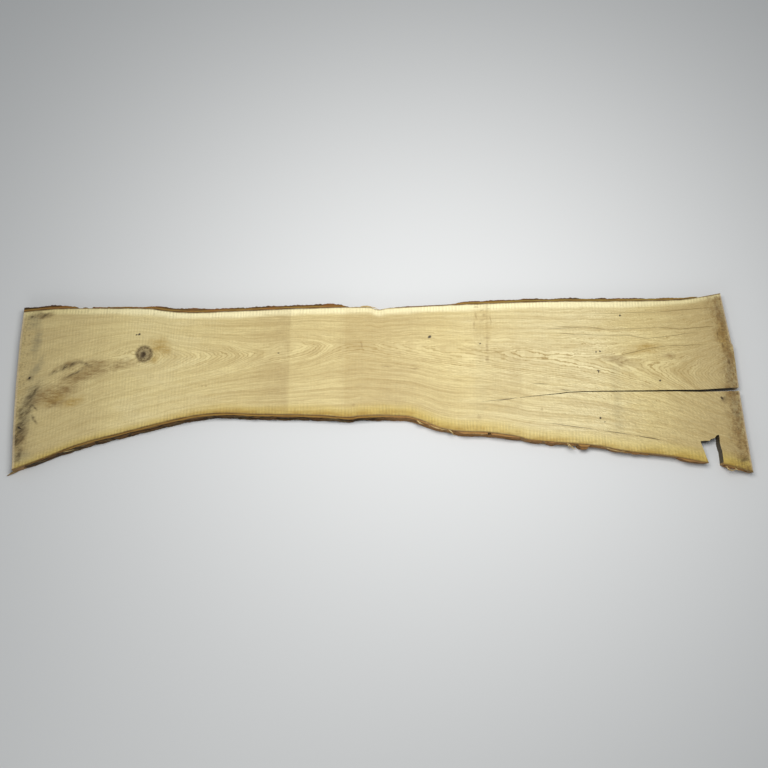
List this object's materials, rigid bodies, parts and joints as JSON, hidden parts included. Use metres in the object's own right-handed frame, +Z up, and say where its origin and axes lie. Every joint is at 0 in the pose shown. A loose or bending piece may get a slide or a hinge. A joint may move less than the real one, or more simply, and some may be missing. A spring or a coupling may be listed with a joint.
{
  "type": "live-edge oak tabletop",
  "caption": "Long flat-sawn oak slab with two natural edges, clinging bark, a knot, an end crack and a cut-out corner; lies flat or rests on a base as a tabletop.",
  "frame": {"origin": "on the underside, under the middle of the overall box", "axes": "+X along the slab's length towards the cracked end, +Y across it to the straighter edge, +Z up through the thickness"},
  "size_m": [4.0597, 1.0579, 0.054],
  "materials": {
    "oak": "raw band-sawn oak, pale heartwood between yellower sapwood edges, matt",
    "bark": "rough furrowed oak bark, red-brown to dark brown, matt"
  },
  "bodies": {
    "root": {"oak_slab": "oak", "bark_far_left": "bark", "bark_far_middle": "bark", "bark_far_right": "bark", "bark_near_left": "bark", "bark_near_middle": "bark", "bark_near_flake_a": "bark", "bark_near_flake_b": "bark", "bark_near_lump": "bark", "bark_near_flake_c": "bark", "bark_near_strip": "bark", "bark_near_corner": "bark"}
  },
  "joints": []
}
